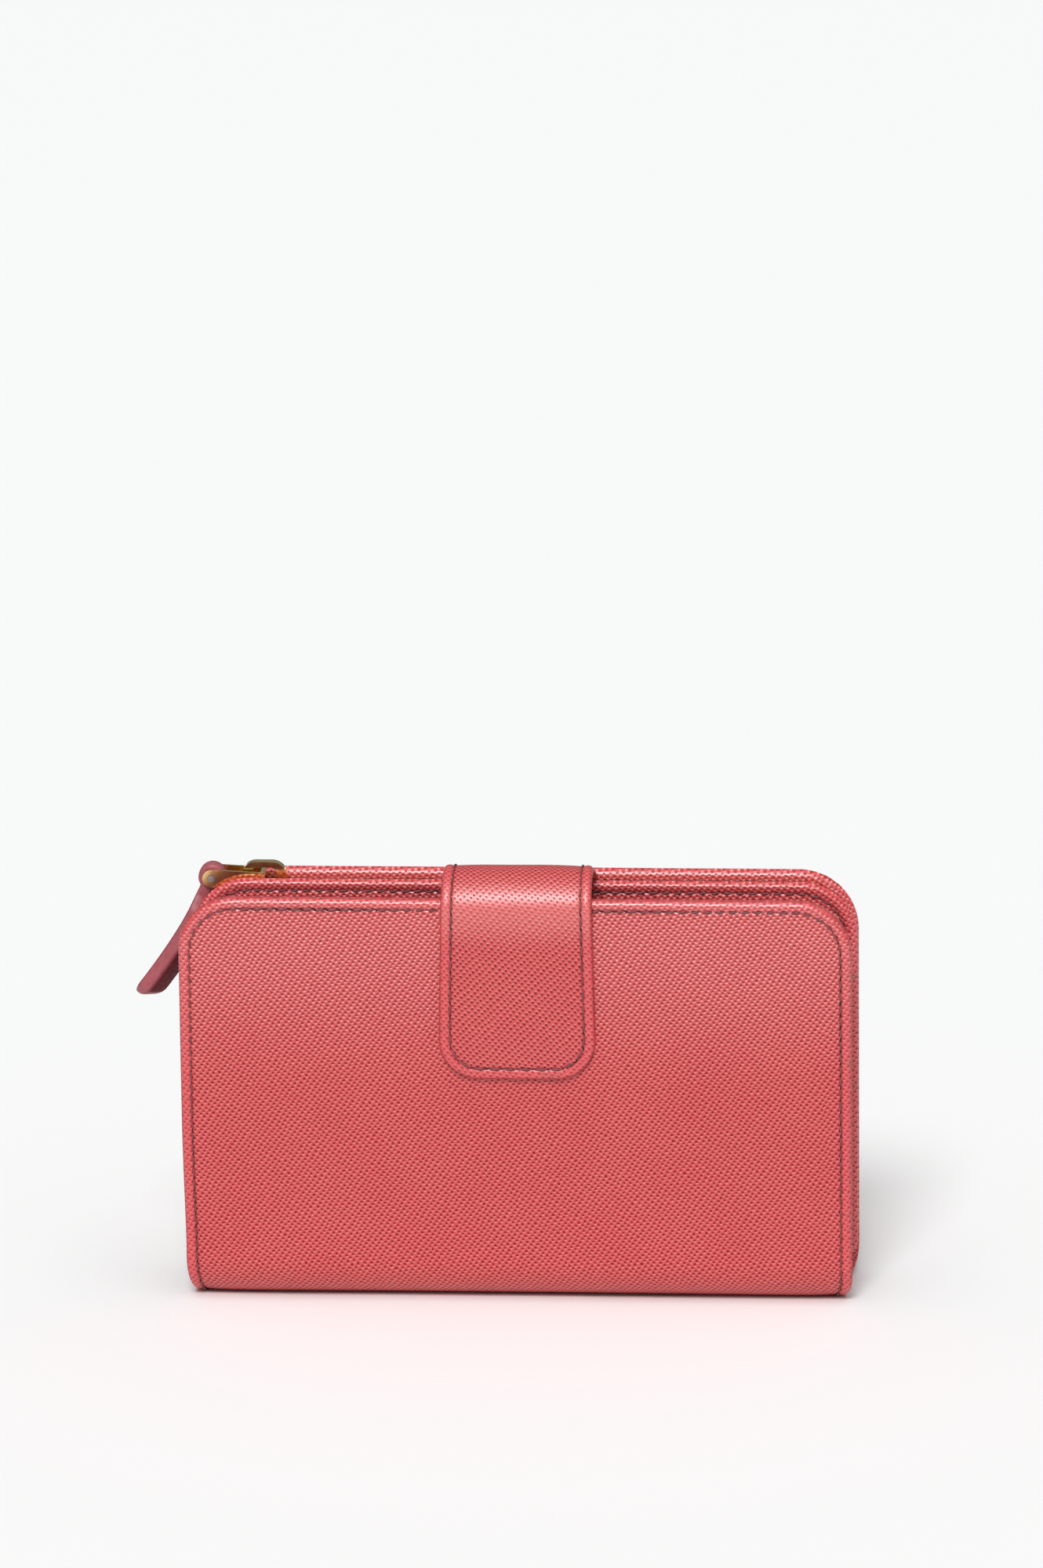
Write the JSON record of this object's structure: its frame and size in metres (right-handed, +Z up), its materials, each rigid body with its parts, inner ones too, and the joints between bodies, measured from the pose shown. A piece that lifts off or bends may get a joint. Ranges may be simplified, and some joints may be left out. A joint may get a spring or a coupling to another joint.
{
  "type": "tab wallet",
  "caption": "Bifold coral leather wallet with a closing tab, a card cover and a zip pocket with a short leather pull.",
  "frame": {"origin": "middle of the flat underside of the spine, on which the closed wallet stands", "axes": "+X along the spine to the wallet's right, -Y out of the front cover, +Z up to the open edges"},
  "size_m": [0.1574, 0.0304, 0.0952],
  "materials": {
    "coral_leather": "cross-grain, satin",
    "pocket_leather": "smooth, satin",
    "pull_leather": "smooth, satin",
    "lining": "plain weave",
    "board": "dyed, matt",
    "thread": "twisted thread",
    "zip_tape": "woven",
    "brass": "polished",
    "steel": "polished"
  },
  "bodies": {
    "spine": {"spine_leather": "coral_leather", "spine_board": "board", "spine_lining": "lining"},
    "cover": {"cover_leather": "coral_leather", "cover_board": "board", "cover_lining": "lining", "cover_keeper": "steel", "cover_slip_pocket": "pocket_leather", "cover_card_pocket_1": "pocket_leather", "cover_card_pocket_2": "pocket_leather", "cover_card_pocket_3": "pocket_leather", "cover_card_pocket_4": "pocket_leather", "cover_seam": "thread"},
    "zip_block": {"block_slip_pocket": "pocket_leather", "block_card_pocket_1": "pocket_leather", "block_card_pocket_2": "pocket_leather", "block_card_pocket_3": "pocket_leather", "block_card_pocket_4": "pocket_leather", "middle_leather": "coral_leather", "middle_board": "board", "middle_seam": "thread", "pocket_lining_front": "lining", "pocket_lining_back": "lining", "gusset_left": "lining", "gusset_right": "lining", "gusset_bottom": "lining", "back_board": "board", "back_leather": "coral_leather", "back_seam": "thread", "zip_tape_front": "zip_tape", "zip_tape_back": "zip_tape", "zip_teeth_front": "brass", "zip_teeth_back": "brass", "zip_stop_left": "brass", "zip_stop_right": "brass", "tab_root": "coral_leather"},
    "tab_bridge": {"tab_bridge_leather": "coral_leather", "tab_bridge_lining": "pull_leather"},
    "tab_front": {"tab_front_leather": "coral_leather", "tab_front_lining": "pull_leather", "tab_magnet": "steel", "tab_seam": "thread"},
    "slider": {"slider_body": "brass", "slider_bridge": "brass"},
    "link": {"pull_link": "brass", "link_pin": "steel"},
    "pull": {"pull_strap": "pull_leather"}
  },
  "joints": [
    {"name": "cover_open", "type": "hinge", "parent": "spine", "child": "cover", "pos_m": [0, -0.01144, 0.00256], "axis": [1, 0, 0], "range_deg": [0, 88]},
    {"name": "block_open", "type": "hinge", "parent": "spine", "child": "zip_block", "pos_m": [0, 0.01144, 0.00256], "axis": [-1, 0, 0], "range_deg": [0, 88]},
    {"name": "tab_lift", "type": "hinge", "parent": "zip_block", "child": "tab_bridge", "pos_m": [0, 0.01138, 0.08843], "axis": [-1, 0, 0], "range_deg": [0, 70]},
    {"name": "tab_peel", "type": "hinge", "parent": "tab_bridge", "child": "tab_front", "pos_m": [0, -0.01503, 0.09081], "axis": [-1, 0, 0], "range_deg": [0, 75]},
    {"name": "zip_slide", "type": "slide", "parent": "zip_block", "child": "slider", "axis": [1, 0, 0], "range_m": [0, 0.111], "deforming": ["pull_strap", "tab_bridge_leather", "tab_bridge_lining"]},
    {"name": "link_flip", "type": "hinge", "parent": "slider", "child": "link", "pos_m": [-0.056, 0.0076, 0.0899], "axis": [0, 1, 0], "range_deg": [0, 120]},
    {"name": "pull_swing", "type": "hinge", "parent": "link", "child": "pull", "pos_m": [-0.0669, 0.0076, 0.0893], "axis": [0, 1, 0], "range_deg": [0, 100]}
  ]
}
